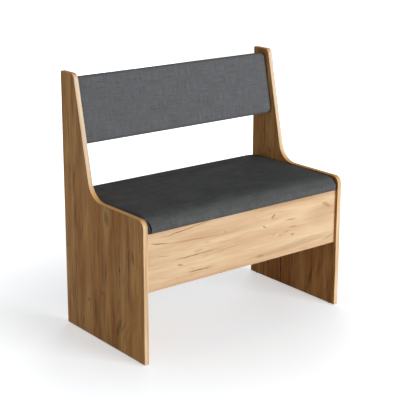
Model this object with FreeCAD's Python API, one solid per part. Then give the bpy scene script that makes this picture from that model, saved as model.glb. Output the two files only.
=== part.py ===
import FreeCAD, Part
import math
import os

from FreeCAD import Placement, Rotation, Vector

# Two-seat storage bench with an upholstered lid and backrest, in millimetres.
# +X runs along the seat, +Y to the back and +Z up. The origin lies on the floor under the bench's middle.

# Overall size
bench_width = 840.0
bench_depth = 450.0
bench_height = 870.0

# Boards: melamine faced chipboard, banded on the edges that show
board = 16.0
edge_band = 1.0

# Outline of the side panels
arm_height = 472.5
arm_front_round = 26.0
upright_foot = 290.0
upright_foot_round = 70.0
upright_top_round = 20.0
upright_rake = 12.0

# Storage box between the side panels
box_underside = 235.0
box_height = 190.0
front_panel_setback = 11.0
rear_panel_setback = 73.5

# Seat lid and its cushion
lid_gap = 2.0
seat_thickness = 45.0
seat_front_setback = 2.0
seat_rear_setback = 8.0
seat_side_gap = 4.0
seat_front_round = 25.0
seat_rear_round = 12.0

# Backrest
back_thickness = 45.0
back_height = 220.0
back_rise = 178.0
back_setback = 16.0
back_side_gap = 3.0
back_edge_round = 14.0

# Upholstery of both cushions
cushion_board = 16.0
cushion_end_round = 8.0
cover_thickness = 1.0
backing_thickness = 0.5
hem_width = 32.0
staple_from_edge = 27.0
staple_pitch = 66.0
staple_width = 11.0
staple_leg = 9.0
staple_wire = 0.9

# Cam joints and dowels at the ends of the box panels
joint_from_edge = 32.0
dowel_from_cam = 32.0
cam_radius = 7.5
cam_depth = 12.5
cam_from_end = 24.0
cam_chamber_clearance = 0.4
cam_recess_length = 9.0
cam_recess_width = 1.8
cam_recess_depth = 2.2
cap_radius = 8.5
cap_thickness = 0.8
bolt_radius = 3.0
bolt_bore_clearance = 0.5
bolt_neck_radius = 2.0
bolt_neck_length = 4.0
bolt_head_radius = 3.2
bolt_head_length = 2.5
thread_radius = 2.5
thread_length = 10.0
dowel_radius = 4.0
dowel_seat_in_panel = 10.0
dowel_seat_in_board = 20.0
floor_dowel_from_side = 154.0

# Lid hinges
hinge_from_side = 124.0
hinge_length = 60.0
hinge_leaf = 1.5
hinge_leaf_width = 30.0
hinge_knuckles = 5
knuckle_radius = 3.2
knuckle_gap = 0.4
knuckle_clearance = 0.4
pin_radius = 1.5
pin_clearance = 0.05
pin_head_radius = 2.6
pin_head_thickness = 1.0

# Countersunk screws of the hinges
hinge_screw_radius = 1.75
hinge_screw_head_radius = 3.5
hinge_screw_length = 14.0
hinge_screw_from_axis = 21.0
hinge_screw_spacing = 36.0

# Angle brackets behind the backrest and their pan head screws
bracket_thickness = 2.0
bracket_width = 30.0
bracket_back_leg = 44.0
bracket_side_leg = 20.0
bracket_bend_round = 3.0
bracket_from_end = 45.0
bracket_screw_radius = 2.0
bracket_screw_head_radius = 4.0
bracket_screw_head_height = 2.4
bracket_screw_length = 13.0
bracket_screw_spacing = 14.0
back_screw_from_side = 28.0
side_screw_from_bend = 12.0

# Bumper pads under the lid, and floor glides
bumper_radius = 5.0
bumper_clearance = 0.3
bumper_from_side = 60.0
glide_height = 3.0
glide_radius = 6.5
glide_edge_round = 1.0
glide_from_edge = 30.0
glide_nail_radius = 1.2
glide_nail_length = 14.0

# Places that follow from the sizes
inner_half = bench_width / 2.0 - board
front_y = -bench_depth / 2.0
rear_y = bench_depth / 2.0
box_top = box_underside + box_height
front_panel_y = front_y + front_panel_setback
rear_panel_y = rear_y - rear_panel_setback
box_front_y = front_panel_y + board
box_rear_y = rear_panel_y - board
lid_underside = box_top + lid_gap
lid_leaf_top = lid_underside + cover_thickness - backing_thickness
hinge_axis_z = lid_leaf_top - knuckle_radius - knuckle_clearance
hinge_axis_y = rear_panel_y + knuckle_radius + knuckle_clearance
end_staple_from_corner = bracket_from_end + bracket_width / 2.0 + staple_width
rake = math.radians(upright_rake)

x_way = Vector(1, 0, 0)
y_way = Vector(0, 1, 0)
z_way = Vector(0, 0, 1)
small = 1e-6


def block(x0, x1, y0, y1, z0, z1):
    """A block between two values on each axis."""
    return Part.makeBox(x1 - x0, y1 - y0, z1 - z0, Vector(x0, y0, z0))


def rod(radius, length, start, way):
    """A round bar that starts at a point and runs along a direction."""
    return Part.makeCylinder(radius, length, start, way)


def placed(shape, origin, x_direction, z_direction):
    """A copy of a shape, moved from its drawing frame to an origin with the given x and z directions."""
    turn = Rotation(x_direction, z_direction.cross(x_direction), z_direction, "XZY")
    copy = shape.copy()
    copy.Placement = Placement(origin, turn).multiply(copy.Placement)
    return copy


def cut_by(shape, tools):
    """What is left of a shape when every tool is cut from it."""
    return shape.cut(Part.Compound(tools))


def rounded_outline(corners):
    """A closed wire through (y, z, radius) corners in the YZ plane, with an arc where the radius isn't 0."""
    count = len(corners)
    arcs = []
    starts = []
    ends = []
    for i in range(count):
        y, z, radius = corners[i]
        corner = Vector(0, y, z)
        y_before, z_before, _ = corners[i - 1]
        y_after, z_after, _ = corners[(i + 1) % count]
        before = (Vector(0, y_before, z_before) - corner).normalize()
        after = (Vector(0, y_after, z_after) - corner).normalize()
        half_angle = before.getAngle(after) / 2.0
        reach = radius / math.tan(half_angle)
        starts.append(corner + before * reach)
        ends.append(corner + after * reach)
        if radius > 0:
            inward = (before + after).normalize()
            middle = corner + inward * (radius / math.sin(half_angle) - radius)
            arcs.append(Part.Arc(starts[i], middle, ends[i]).toShape())
    lines = []
    for i in range(count):
        lines.append(Part.makeLine(ends[i], starts[(i + 1) % count]))
    return Part.Wire(Part.__sortEdges__(arcs + lines))


# Side panels

def side_plate(inset, x0):
    """A board with the side panel's outline, drawn in by an inset along its banded front and top edges."""
    arm_z = arm_height - inset
    top_z = bench_height - inset
    slope = math.tan(rake)
    raked_edge_y = front_y + upright_foot + inset / math.cos(rake)
    outline = rounded_outline([
        (front_y + inset, glide_height, 0.0),
        (front_y + inset, arm_z, arm_front_round - inset),
        (raked_edge_y - inset * slope, arm_z, upright_foot_round + inset),
        (raked_edge_y + (top_z - arm_height) * slope, top_z, upright_top_round - inset),
        (rear_y, top_z, 0.0),
        (rear_y, glide_height, 0.0),
    ])
    plate = Part.Face(outline).extrude(Vector(board, 0, 0))
    plate.translate(Vector(x0, 0, 0))
    return plate


side_panel_left = side_plate(edge_band, -bench_width / 2.0)
side_panel_right = side_plate(edge_band, inner_half)
edge_band_left = side_plate(0.0, -bench_width / 2.0).cut(side_panel_left)
edge_band_right = side_plate(0.0, inner_half).cut(side_panel_right)


# Panels of the storage box: front and rear stand on edge, and the floor lies between them

front_panel = block(-inner_half, inner_half, front_panel_y, box_front_y, box_underside, box_top)
rear_panel = block(-inner_half, inner_half, box_rear_y, rear_panel_y, box_underside, box_top)
floor_panel = block(-inner_half, inner_half, box_front_y, box_rear_y, box_underside, box_underside + board)


# Cam joints and dowels, drawn with the board's end at x = 0, the board towards +x and the cam's face up

def cam_bolt():
    """The bolt of a cam joint: thread in the side panel, shank, neck, and the head that the cam grips."""
    head_x = cam_from_end - bolt_head_length
    neck_x = head_x - bolt_neck_length
    thread = rod(thread_radius, thread_length, Vector(0, 0, 0), x_way * -1)
    shank = rod(bolt_radius, neck_x, Vector(0, 0, 0), x_way)
    neck = rod(bolt_neck_radius, bolt_neck_length, Vector(neck_x, 0, 0), x_way)
    head = rod(bolt_head_radius, bolt_head_length, Vector(head_x, 0, 0), x_way)
    return thread.fuse([shank, neck, head]).removeSplitter()


def cam_blank():
    """The cam's outside, which is also the pocket that it sits in."""
    return rod(cam_radius, cam_depth, Vector(cam_from_end, 0, board / 2.0 - cam_depth), z_way)


def cam_disc():
    """The cam: a disc with a chamber for the bolt's head and a cross recess for the screwdriver."""
    chamber_radius = bolt_head_radius + cam_chamber_clearance
    chamber_x = cam_from_end - cam_radius - 1.0
    chamber_end = cam_from_end + cam_chamber_clearance
    chamber = rod(chamber_radius, chamber_end - chamber_x, Vector(chamber_x, 0, 0), x_way)
    top = board / 2.0
    recesses = []
    for half_x, half_y in (
        (cam_recess_length / 2.0, cam_recess_width / 2.0),
        (cam_recess_width / 2.0, cam_recess_length / 2.0),
    ):
        x0 = cam_from_end - half_x
        x1 = cam_from_end + half_x
        recesses.append(block(x0, x1, -half_y, half_y, top - cam_recess_depth, top))
    return cut_by(cam_blank(), [chamber] + recesses)


def cam_cap():
    """The thin plastic cap over a cam."""
    return rod(cap_radius, cap_thickness, Vector(cam_from_end, 0, board / 2.0), z_way)


def bolt_bore():
    """The hole in the board for the bolt."""
    return rod(bolt_radius + bolt_bore_clearance, cam_from_end, Vector(0, 0, 0), x_way)


def dowel():
    """A beech dowel across a joint."""
    length = dowel_seat_in_panel + dowel_seat_in_board
    return rod(dowel_radius, length, Vector(-dowel_seat_in_panel, 0, 0), x_way)


def end_joints(low_point, high_point, cam_way):
    """The joints of a board at both side panels, spread from one long edge of the board to the other."""
    along = (high_point - low_point).normalize()
    cam_points = [low_point + along * joint_from_edge, high_point - along * joint_from_edge]
    dowel_points = [cam_points[0] + along * dowel_from_cam, cam_points[1] - along * dowel_from_cam]
    for side in (-1, 1):
        end = Vector(side * inner_half, 0, 0)
        for point in cam_points:
            cam_bolts.append(placed(cam_bolt(), point + end, x_way * -side, cam_way))
            cam_discs.append(placed(cam_disc(), point + end, x_way * -side, cam_way))
            cam_caps.append(placed(cam_cap(), point + end, x_way * -side, cam_way))
            bores.append(placed(bolt_bore(), point + end, x_way * -side, cam_way))
            bores.append(placed(cam_blank(), point + end, x_way * -side, cam_way))
        for point in dowel_points:
            dowels.append(placed(dowel(), point + end, x_way * -side, cam_way))


cam_bolts = []
cam_discs = []
cam_caps = []
dowels = []
bores = []

front_middle_y = front_panel_y + board / 2.0
rear_middle_y = rear_panel_y - board / 2.0
floor_middle_z = box_underside + board / 2.0
end_joints(Vector(0, front_middle_y, box_underside), Vector(0, front_middle_y, box_top), y_way)
end_joints(Vector(0, rear_middle_y, box_underside), Vector(0, rear_middle_y, box_top), y_way * -1)
end_joints(Vector(0, box_front_y, floor_middle_z), Vector(0, box_rear_y, floor_middle_z), z_way * -1)

for joint_y, into_floor in ((box_front_y, y_way), (box_rear_y, y_way * -1)):
    for dowel_x in (-inner_half + floor_dowel_from_side, 0.0, inner_half - floor_dowel_from_side):
        point = Vector(dowel_x, joint_y, floor_middle_z)
        dowels.append(placed(dowel(), point, into_floor, z_way))

side_panel_left = cut_by(side_panel_left, cam_bolts + dowels)
side_panel_right = cut_by(side_panel_right, cam_bolts + dowels)
front_panel = cut_by(front_panel, bores + dowels)
rear_panel = cut_by(rear_panel, bores + dowels)
floor_panel = cut_by(floor_panel, bores + dowels)


# Cushions: a chipboard base, foam on it, and a cover turned under the base and stapled.
# They are drawn lying flat: the underside is z = 0, the first long edge y = 0 and the middle x = 0

def cushion_body(length, width, thickness, first_round, last_round, inset):
    """A cushion's outer form, or with an inset the space inside its cover."""
    half = length / 2.0 - inset
    profile = rounded_outline([
        (inset, inset, 0.0),
        (inset, thickness - inset, first_round - inset),
        (width - inset, thickness - inset, last_round - inset),
        (width - inset, inset, 0.0),
    ])
    body = Part.Face(profile).extrude(Vector(2.0 * half, 0, 0))
    body.translate(Vector(-half, 0, 0))
    end_edges = []
    for edge in body.Edges:
        limits = edge.BoundBox
        on_an_end = limits.XLength < small and abs(abs(limits.XMin) - half) < small
        on_the_underside = limits.ZMax < inset + small
        if on_an_end and not on_the_underside:
            end_edges.append(edge)
    return body.makeFillet(cushion_end_round - inset, end_edges)


def staple(x, y, along_x):
    """A staple driven up from the underside."""
    half = staple_width / 2.0
    wire = staple_wire / 2.0
    crown = block(-half, half, -wire, wire, -staple_wire, 0)
    first_leg = block(-half, -half + staple_wire, -wire, wire, 0, staple_leg)
    last_leg = block(half - staple_wire, half, -wire, wire, 0, staple_leg)
    whole = crown.fuse([first_leg, last_leg]).removeSplitter()
    way = x_way if along_x else y_way
    return placed(whole, Vector(x, y, 0), way, z_way)


def spread(low, high, pitch):
    """Evenly spaced values from low to high, about a pitch apart."""
    count = max(2, round((high - low) / pitch) + 1)
    values = []
    for i in range(count):
        values.append(low + (high - low) * i / (count - 1))
    return values


def make_cushion(length, width, thickness, first_round, last_round):
    """The board, foam, cover, backing cloth and staples of a cushion."""
    outer = cushion_body(length, width, thickness, first_round, last_round, 0.0)
    inner = cushion_body(length, width, thickness, first_round, last_round, cover_thickness)
    half = length / 2.0
    board_top = cover_thickness + cushion_board
    board_layer = block(-half, half, 0, width, 0, board_top)
    hem_edge = cover_thickness + hem_width
    window = block(-half + hem_edge, half - hem_edge, hem_edge, width - hem_edge, 0, cover_thickness)
    backing_z = cover_thickness - backing_thickness
    backing = block(-half + hem_edge, half - hem_edge, hem_edge, width - hem_edge, backing_z, cover_thickness)
    staples = []
    for x in spread(-half + 2.0 * staple_from_edge, half - 2.0 * staple_from_edge, staple_pitch):
        for y in (staple_from_edge, width - staple_from_edge):
            staples.append(staple(x, y, True))
    for y in spread(end_staple_from_corner, width - end_staple_from_corner, staple_pitch):
        for x in (-half + staple_from_edge, half - staple_from_edge):
            staples.append(staple(x, y, False))
    return {
        "board": cut_by(inner.common(board_layer), staples),
        "foam": inner.cut(board_layer),
        "cover": cut_by(outer.cut(inner), [window] + staples),
        "backing": backing,
        "staples": Part.Compound(staples),
    }


# Seat lid

seat_length = 2.0 * (inner_half - seat_side_gap)
seat_width = bench_depth - seat_front_setback - seat_rear_setback
seat_origin = Vector(0, front_y + seat_front_setback, lid_underside)
seat = {}
for piece, shape in make_cushion(
    seat_length, seat_width, seat_thickness, seat_front_round, seat_rear_round
).items():
    seat[piece] = placed(shape, seat_origin, x_way, z_way)


# Backrest, turned up so that its underside faces back and its first long edge is the lower one

rake_up = Vector(0, math.sin(rake), math.cos(rake))
rake_back = Vector(0, math.cos(rake), -math.sin(rake))
back_length = 2.0 * (inner_half - back_side_gap)
upright_foot_point = Vector(0, front_y + upright_foot, arm_height)
back_origin = upright_foot_point + rake_up * back_rise + rake_back * (back_setback + back_thickness)
back = {}
for piece, shape in make_cushion(
    back_length, back_height, back_thickness, back_edge_round, back_edge_round
).items():
    back[piece] = placed(shape, back_origin, x_way, rake_back * -1)


# Angle brackets, drawn in the backrest's flat frame, where the side panels stand at x = inner_half

def pan_screw(start, way):
    """A pan head screw. The shank starts under the head, at the start, and runs along the direction."""
    head = rod(bracket_screw_head_radius, bracket_screw_head_height, start, way * -1)
    rim = []
    for edge in head.Edges:
        if (start - edge.CenterOfMass).dot(way) > bracket_screw_head_height - small:
            rim.append(edge)
    head = head.makeFillet(bracket_screw_head_height / 2.0, rim)
    shank = rod(bracket_screw_radius, bracket_screw_length, start, way)
    return head.fuse(shank).removeSplitter()


def angle_bracket(side, y):
    """One bracket and its four screws, at a side panel and a height up the backrest."""
    y0 = y - bracket_width / 2.0
    y1 = y + bracket_width / 2.0
    back_leg = block(inner_half - bracket_back_leg, inner_half, y0, y1, -bracket_thickness, 0)
    side_leg = block(inner_half - bracket_thickness, inner_half, y0, y1, -bracket_side_leg, 0)
    bracket = back_leg.fuse(side_leg).removeSplitter()
    bend = []
    for edge in bracket.Edges:
        limits = edge.BoundBox
        at_corner = abs(limits.XMin - inner_half) < small and abs(limits.ZMin) < small
        if at_corner and limits.YLength > small and limits.XLength < small:
            bend.append(edge)
    bracket = bracket.makeFillet(bracket_bend_round, bend)
    screws = []
    for screw_y in (y - bracket_screw_spacing / 2.0, y + bracket_screw_spacing / 2.0):
        back_screw_x = inner_half - back_screw_from_side
        screws.append(pan_screw(Vector(back_screw_x, screw_y, -bracket_thickness), z_way))
        side_screw_x = inner_half - bracket_thickness
        screws.append(pan_screw(Vector(side_screw_x, screw_y, -side_screw_from_bend), x_way))
    bracket = cut_by(bracket, screws)
    pieces = [bracket] + screws
    if side < 0:
        pieces = [piece.mirror(Vector(0, 0, 0), x_way) for piece in pieces]
    turned = [placed(piece, back_origin, x_way, rake_back * -1) for piece in pieces]
    return turned[0], turned[1:]


brackets = []
bracket_screws = []
for side in (-1, 1):
    for bracket_y in (bracket_from_end, back_height - bracket_from_end):
        bracket, screws = angle_bracket(side, bracket_y)
        brackets.append(bracket)
        bracket_screws.extend(screws)

side_panel_left = cut_by(side_panel_left, bracket_screws)
side_panel_right = cut_by(side_panel_right, bracket_screws)
back["board"] = cut_by(back["board"], bracket_screws)
back["cover"] = cut_by(back["cover"], bracket_screws)
back["backing"] = cut_by(back["backing"], bracket_screws)


# Lid hinges. Each has a leaf behind the rear panel, a leaf under the lid and a pin through their knuckles

def countersunk_screw(start, way):
    """A wood screw whose flat head lies at the start."""
    head_height = hinge_screw_head_radius - hinge_screw_radius
    head = Part.makeCone(hinge_screw_head_radius, hinge_screw_radius, head_height, start, way)
    shank = rod(hinge_screw_radius, hinge_screw_length - head_height, start + way * head_height, way)
    return head.fuse(shank).removeSplitter()


def knuckle(index, hinge_x, bore_radius):
    """One knuckle of the barrel, with its bore."""
    length = (hinge_length - (hinge_knuckles - 1) * knuckle_gap) / hinge_knuckles
    x0 = hinge_x - hinge_length / 2.0 + index * (length + knuckle_gap)
    start = Vector(x0, hinge_axis_y, hinge_axis_z)
    outside = rod(knuckle_radius, length, start, x_way)
    return x0, x0 + length, outside, rod(bore_radius, length, start, x_way)


def hinge_leaf_shape(hinge_x, on_lid):
    """A leaf with its knuckles: even knuckles belong to the fixed leaf, odd ones to the leaf on the lid."""
    x0 = hinge_x - hinge_length / 2.0
    x1 = hinge_x + hinge_length / 2.0
    lid_leaf_y = hinge_axis_y - hinge_leaf_width
    fixed_leaf_z = hinge_axis_z - hinge_leaf_width
    barrel_edge_z = hinge_axis_z - knuckle_radius - knuckle_clearance
    leaf_y = rear_panel_y + hinge_leaf
    if on_lid:
        leaf = block(x0, x1, lid_leaf_y, rear_panel_y, lid_leaf_top - hinge_leaf, lid_leaf_top)
        bore_radius = pin_radius + pin_clearance
        first = 1
    else:
        leaf = block(x0, x1, rear_panel_y, leaf_y, fixed_leaf_z, barrel_edge_z)
        bore_radius = pin_radius
        first = 0
    pieces = []
    bores_of_leaf = []
    for index in range(first, hinge_knuckles, 2):
        k0, k1, outside, bore = knuckle(index, hinge_x, bore_radius)
        pieces.append(outside)
        bores_of_leaf.append(bore)
        if on_lid:
            pieces.append(block(k0, k1, rear_panel_y, hinge_axis_y, lid_leaf_top - hinge_leaf, lid_leaf_top))
        else:
            pieces.append(block(k0, k1, rear_panel_y, leaf_y, barrel_edge_z, hinge_axis_z))
    return cut_by(leaf.fuse(pieces), bores_of_leaf).removeSplitter()


def hinge_pin(hinge_x):
    """The pin, with a peened head at each end."""
    x0 = hinge_x - hinge_length / 2.0
    start = Vector(x0, hinge_axis_y, hinge_axis_z)
    shaft = rod(pin_radius, hinge_length, start, x_way)
    low_head = rod(pin_head_radius, pin_head_thickness, start, x_way * -1)
    high_head = rod(pin_head_radius, pin_head_thickness, start + x_way * hinge_length, x_way)
    return shaft.fuse([low_head, high_head]).removeSplitter()


hinges = {}
fixed_screws = []
lid_screws = []
for name, hinge_x in (("left", -inner_half + hinge_from_side), ("right", inner_half - hinge_from_side)):
    screws_of_fixed = []
    screws_of_lid = []
    for screw_x in (hinge_x - hinge_screw_spacing / 2.0, hinge_x + hinge_screw_spacing / 2.0):
        fixed_start = Vector(screw_x, rear_panel_y + hinge_leaf, hinge_axis_z - hinge_screw_from_axis)
        lid_start = Vector(screw_x, hinge_axis_y - hinge_screw_from_axis, lid_leaf_top - hinge_leaf)
        screws_of_fixed.append(countersunk_screw(fixed_start, y_way * -1))
        screws_of_lid.append(countersunk_screw(lid_start, z_way))
    hinges["hinge_" + name + "_fixed_leaf"] = cut_by(hinge_leaf_shape(hinge_x, False), screws_of_fixed)
    hinges["hinge_" + name + "_lid_leaf"] = cut_by(hinge_leaf_shape(hinge_x, True), screws_of_lid)
    hinges["hinge_" + name + "_pin"] = hinge_pin(hinge_x)
    fixed_screws.extend(screws_of_fixed)
    lid_screws.extend(screws_of_lid)

rear_panel = cut_by(rear_panel, fixed_screws)
seat["board"] = cut_by(seat["board"], lid_screws)
seat["backing"] = cut_by(seat["backing"], lid_screws)


# Bumper pads on the front panel's top edge, and glides nailed under the side panels

bumper_pads = []
for bumper_x in (-inner_half + bumper_from_side, 0.0, inner_half - bumper_from_side):
    bumper_start = Vector(bumper_x, front_middle_y, box_top)
    bumper_pads.append(rod(bumper_radius, lid_gap - bumper_clearance, bumper_start, z_way))


def floor_glide(x, y):
    """A round plastic glide with its nail."""
    foot = rod(glide_radius, glide_height, Vector(x, y, 0), z_way)
    rim = []
    for edge in foot.Edges:
        if edge.BoundBox.ZMax < small:
            rim.append(edge)
    foot = foot.makeFillet(glide_edge_round, rim)
    nail = rod(glide_nail_radius, glide_nail_length, Vector(x, y, glide_height), z_way)
    return foot.fuse(nail).removeSplitter()


floor_glides = []
side_middle_x = bench_width / 2.0 - board / 2.0
for glide_x in (-side_middle_x, side_middle_x):
    for glide_y in (front_y + glide_from_edge, rear_y - glide_from_edge):
        floor_glides.append(floor_glide(glide_x, glide_y))

side_panel_left = cut_by(side_panel_left, floor_glides)
side_panel_right = cut_by(side_panel_right, floor_glides)


# Every piece under the name of its node

pieces = {
    "side_panel_left": side_panel_left,
    "side_panel_right": side_panel_right,
    "edge_band_left": edge_band_left,
    "edge_band_right": edge_band_right,
    "front_panel": front_panel,
    "rear_panel": rear_panel,
    "floor_panel": floor_panel,
    "dowels": Part.Compound(dowels),
    "cam_bolts": Part.Compound(cam_bolts),
    "cam_discs": Part.Compound(cam_discs),
    "cam_caps": Part.Compound(cam_caps),
    "backrest_board": back["board"],
    "backrest_foam": back["foam"],
    "backrest_cover": back["cover"],
    "backrest_backing": back["backing"],
    "backrest_staples": back["staples"],
    "backrest_brackets": Part.Compound(brackets),
    "bracket_screws": Part.Compound(bracket_screws),
    "lid_board": seat["board"],
    "seat_foam": seat["foam"],
    "seat_cover": seat["cover"],
    "lid_backing": seat["backing"],
    "lid_staples": seat["staples"],
    "hinge_fixed_screws": Part.Compound(fixed_screws),
    "hinge_lid_screws": Part.Compound(lid_screws),
    "bumper_pads": Part.Compound(bumper_pads),
    "floor_glides": Part.Compound(floor_glides),
}
pieces.update(hinges)

os.makedirs("parts", exist_ok=True)
for node, shape in pieces.items():
    shape.exportStep("parts/" + node + ".step")
    print(node, len(shape.Solids), "solids,", round(shape.Volume / 1000.0, 2), "cm3, valid", shape.isValid())
print("hinge axis at y", round(hinge_axis_y, 3), "z", round(hinge_axis_z, 3))
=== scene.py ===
import math

import bmesh
import bpy
from mathutils import Matrix, Vector, noise


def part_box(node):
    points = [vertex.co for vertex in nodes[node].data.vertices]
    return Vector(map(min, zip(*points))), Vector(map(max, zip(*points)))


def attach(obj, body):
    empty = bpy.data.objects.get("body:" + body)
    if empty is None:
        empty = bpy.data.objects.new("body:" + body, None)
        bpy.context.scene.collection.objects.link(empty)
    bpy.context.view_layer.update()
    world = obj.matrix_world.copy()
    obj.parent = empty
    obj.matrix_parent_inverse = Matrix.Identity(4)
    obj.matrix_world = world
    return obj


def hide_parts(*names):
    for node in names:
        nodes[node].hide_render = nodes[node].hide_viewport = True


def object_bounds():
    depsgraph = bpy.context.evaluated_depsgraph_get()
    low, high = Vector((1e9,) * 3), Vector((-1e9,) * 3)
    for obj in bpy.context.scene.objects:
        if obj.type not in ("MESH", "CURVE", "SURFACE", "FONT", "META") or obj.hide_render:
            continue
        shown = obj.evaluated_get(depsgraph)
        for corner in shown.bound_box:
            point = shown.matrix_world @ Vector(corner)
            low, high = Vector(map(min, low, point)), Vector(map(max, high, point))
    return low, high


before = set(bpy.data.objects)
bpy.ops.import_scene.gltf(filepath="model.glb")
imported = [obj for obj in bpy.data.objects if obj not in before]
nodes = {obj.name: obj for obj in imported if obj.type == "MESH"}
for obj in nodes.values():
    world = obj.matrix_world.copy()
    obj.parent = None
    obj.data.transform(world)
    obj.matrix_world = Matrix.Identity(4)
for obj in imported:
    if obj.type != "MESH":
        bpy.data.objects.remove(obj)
cad_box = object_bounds()


# Side panels
# Each is one L-shaped board of chipboard faced with melamine paper, printed as rustic golden oak with the
# grain upright. The face is pressed satin, with small knots, drying cracks and long darker streaks. The
# rear and bottom edges carry no band, so the sawn chips show there.

def linear(colour):
    """An sRGB hex colour as the linear RGBA that a socket takes."""
    channels = [int(colour[i:i + 2], 16) / 255.0 for i in (0, 2, 4)]
    return tuple(c / 12.92 if c <= 0.04045 else ((c + 0.055) / 1.055) ** 2.4 for c in channels) + (1.0,)


def add_node(tree, kind, inputs, **settings):
    """Adds a node with its settings. An input is a value, or the output socket that feeds it.

    Inputs are named, or numbered as they stand on the node. Mapping has its vector at 0, then location,
    rotation and scale. Map Range has its value at 0, then from least, from most, to least and to most. A
    colour Mix has its factor at 0, its colours at 6 and 7, and gives its result at output 2.
    """
    node = tree.nodes.new("ShaderNode" + kind)
    for name, value in settings.items():
        setattr(node, name, value)
    for name, value in inputs.items():
        if isinstance(value, bpy.types.NodeSocket):
            tree.links.new(value, node.inputs[name])
        else:
            node.inputs[name].default_value = value
    return node


def start_material(name, roughness):
    """A material whose shader has its roughness set, with its node tree and the shader."""
    material = bpy.data.materials.new(name)
    material.use_nodes = True
    shader = material.node_tree.nodes["Principled BSDF"]
    shader.inputs["Roughness"].default_value = roughness
    return material, material.node_tree, shader


def dress(material, *names):
    """Puts a material on whole nodes of the frame."""
    for name in names:
        node = nodes[name]
        for i in range(len(node.data.materials)):
            node.data.materials[i] = material


def chipboard_colour(tree, millimetres):
    """Sawn chipboard: pale and dark wood chips of a few millimetres, pressed flat."""
    chip_size = 2.6
    chips = add_node(tree, "TexVoronoi", {"Vector": millimetres, "Scale": 1.0 / chip_size})
    dust = add_node(tree, "TexNoise", {"Vector": millimetres, "Scale": 1.4, "Detail": 3.0})
    tone = add_node(tree, "SeparateColor", {0: chips.outputs["Color"]})
    chip_tone = add_node(tree, "MapRange", {0: tone.outputs[0], 3: 0.0, 4: 0.75})
    mixed = add_node(tree, "Mix", {0: chip_tone.outputs[0], 6: linear("c8a67a"), 7: linear("7d5a38")},
                     data_type="RGBA")
    return add_node(tree, "Mix", {0: dust.outputs[0], 6: mixed.outputs[2], 7: linear("b08a5e")},
                    data_type="RGBA").outputs[2]


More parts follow.
